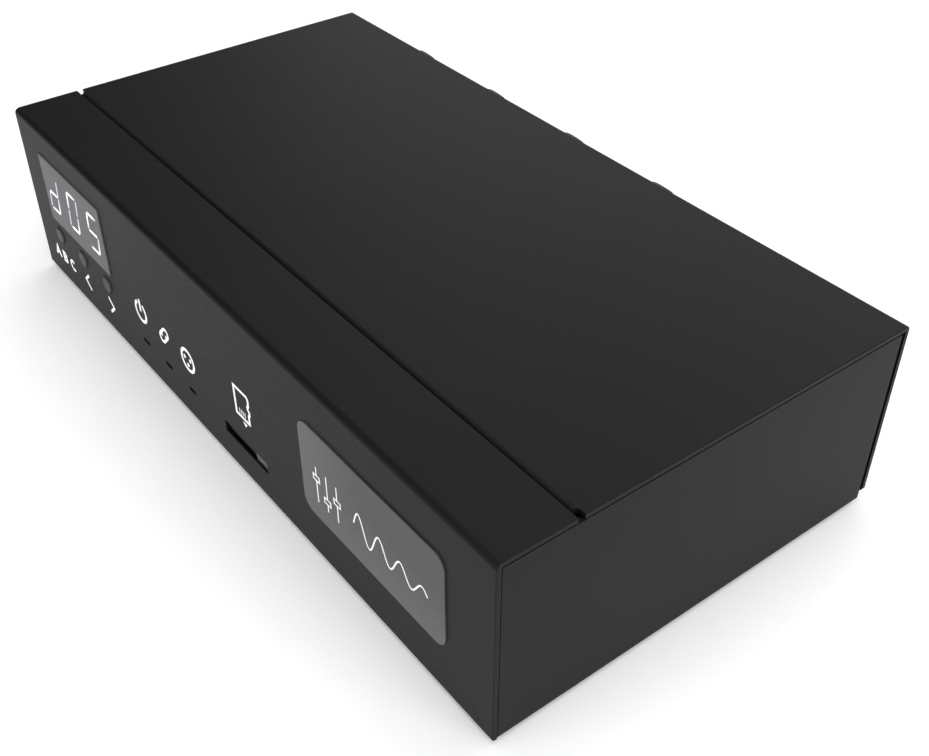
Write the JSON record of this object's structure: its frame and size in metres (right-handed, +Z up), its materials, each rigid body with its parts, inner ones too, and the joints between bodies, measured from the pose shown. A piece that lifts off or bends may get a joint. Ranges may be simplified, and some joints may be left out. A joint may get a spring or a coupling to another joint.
{
  "type": "desktop lighting controller",
  "caption": "Flat folded-metal desktop control box with a digit display, small round buttons, status indicators, a memory card slot and a lit badge in front, and round sockets behind.",
  "frame": {"origin": "middle of the base of the whole object's box, at the feet's lower face", "axes": "+X to the right seen from the front, along the longest side; +Y from the front panel to the back panel; +Z up"},
  "size_m": [0.18, 0.0998, 0.0432],
  "materials": {
    "case_black": "fine matte powder coat on folded steel",
    "foot_rubber": "matte",
    "spacer_steel": "turned, tin plated",
    "screw_steel": "zinc plated",
    "screw_black": "black oxide, cross recess",
    "board_green": "glass-epoxy board with green resist",
    "connector_black": "glass-filled moulding",
    "chip_black": "moulded package",
    "module_black": "potted module",
    "can_aluminium": "drawn can",
    "cell_steel": "nickel plated",
    "display_grey": "satin grey face",
    "segment_lit": "lit diffusing resin",
    "segment_dark": "unlit diffusing resin",
    "button_grey": "satin moulding",
    "pipe_smoke": "smoked clear moulding",
    "lamp_white": "surface-mount lamp",
    "badge_grey": "translucent satin window",
    "diffuser_white": "milky light guide",
    "card_black": "moulded card",
    "reader_steel": "stamped lid",
    "pin_steel": "ground pin",
    "jack_nickel": "nickel-plated stamping",
    "socket_black": "glass-filled moulding",
    "contact_silver": "silver plated",
    "latch_grey": "cast latch, dark satin",
    "switch_black": "moulded"
  },
  "bodies": {
    "case": {"base_tray": "case_black", "top_cover": "case_black", "foot_front_left": "foot_rubber", "foot_front_right": "foot_rubber", "foot_rear_left": "foot_rubber", "foot_rear_right": "foot_rubber", "panel_spacers": "spacer_steel", "board_spacers": "spacer_steel", "board_screws": "screw_steel", "cover_screws": "screw_black", "socket_screws": "screw_black", "front_board": "board_green", "main_board": "board_green", "board_link": "connector_black", "processor": "chip_black", "driver_chips": "chip_black", "power_modules": "module_black", "capacitors": "can_aluminium", "cell_holder": "connector_black", "coin_cell": "cell_steel", "display_housing": "display_grey", "segments_lit": "segment_lit", "segments_dark": "segment_dark", "light_pipe": "pipe_smoke", "indicator_lamps": "lamp_white", "badge_window": "badge_grey", "badge_diffuser": "diffuser_white", "card_reader_lid": "reader_steel", "card_reader_base": "connector_black", "latch_pins": "pin_steel", "network_jack_shell": "jack_nickel", "network_jack_insert": "connector_black", "usb_socket_shell": "jack_nickel", "usb_socket_tongue": "connector_black", "socket_housing_1": "socket_black", "socket_insert_1": "socket_black", "socket_contacts_1": "contact_silver", "socket_housing_2": "socket_black", "socket_insert_2": "socket_black", "socket_contacts_2": "contact_silver", "socket_housing_3": "socket_black", "socket_insert_3": "socket_black", "socket_contacts_3": "contact_silver", "socket_housing_4": "socket_black", "socket_insert_4": "socket_black", "socket_contacts_4": "contact_silver", "switch_body_1": "switch_black", "switch_body_2": "switch_black", "switch_body_3": "switch_black"},
    "bank_button": {"button_bank": "button_grey", "switch_plunger_1": "switch_black"},
    "previous_button": {"button_previous": "button_grey", "switch_plunger_2": "switch_black"},
    "next_button": {"button_next": "button_grey", "switch_plunger_3": "switch_black"},
    "card": {"memory_card": "card_black"},
    "socket_latch_1": {"latch_1": "latch_grey"},
    "socket_latch_2": {"latch_2": "latch_grey"},
    "socket_latch_3": {"latch_3": "latch_grey"},
    "socket_latch_4": {"latch_4": "latch_grey"}
  },
  "joints": [
    {"name": "bank_press", "type": "slide", "parent": "case", "child": "bank_button", "axis": [0, 1, 0], "range_m": [0, 0.0003], "stiffness_N_per_m": 800, "springref_m": -0.001},
    {"name": "previous_press", "type": "slide", "parent": "case", "child": "previous_button", "axis": [0, 1, 0], "range_m": [0, 0.0003], "stiffness_N_per_m": 800, "springref_m": -0.001},
    {"name": "next_press", "type": "slide", "parent": "case", "child": "next_button", "axis": [0, 1, 0], "range_m": [0, 0.0003], "stiffness_N_per_m": 800, "springref_m": -0.001},
    {"name": "card_eject", "type": "slide", "parent": "case", "child": "card", "axis": [0, -1, 0], "range_m": [-0.0004, 0.018]},
    {"name": "latch_press_1", "type": "hinge", "parent": "case", "child": "socket_latch_1", "pos_m": [-0.0632, 0.03959, 0.0381], "axis": [-1, 0, 0], "range_deg": [0, 6], "stiffness_Nm_per_rad": 0.05, "springref_deg": -5.73},
    {"name": "latch_press_2", "type": "hinge", "parent": "case", "child": "socket_latch_2", "pos_m": [-0.0344, 0.03959, 0.0381], "axis": [-1, 0, 0], "range_deg": [0, 6], "stiffness_Nm_per_rad": 0.05, "springref_deg": -5.73},
    {"name": "latch_press_3", "type": "hinge", "parent": "case", "child": "socket_latch_3", "pos_m": [-0.0056, 0.03959, 0.0381], "axis": [-1, 0, 0], "range_deg": [0, 6], "stiffness_Nm_per_rad": 0.05, "springref_deg": -5.73},
    {"name": "latch_press_4", "type": "hinge", "parent": "case", "child": "socket_latch_4", "pos_m": [0.0232, 0.03959, 0.0381], "axis": [-1, 0, 0], "range_deg": [0, 6], "stiffness_Nm_per_rad": 0.05, "springref_deg": -5.73}
  ]
}
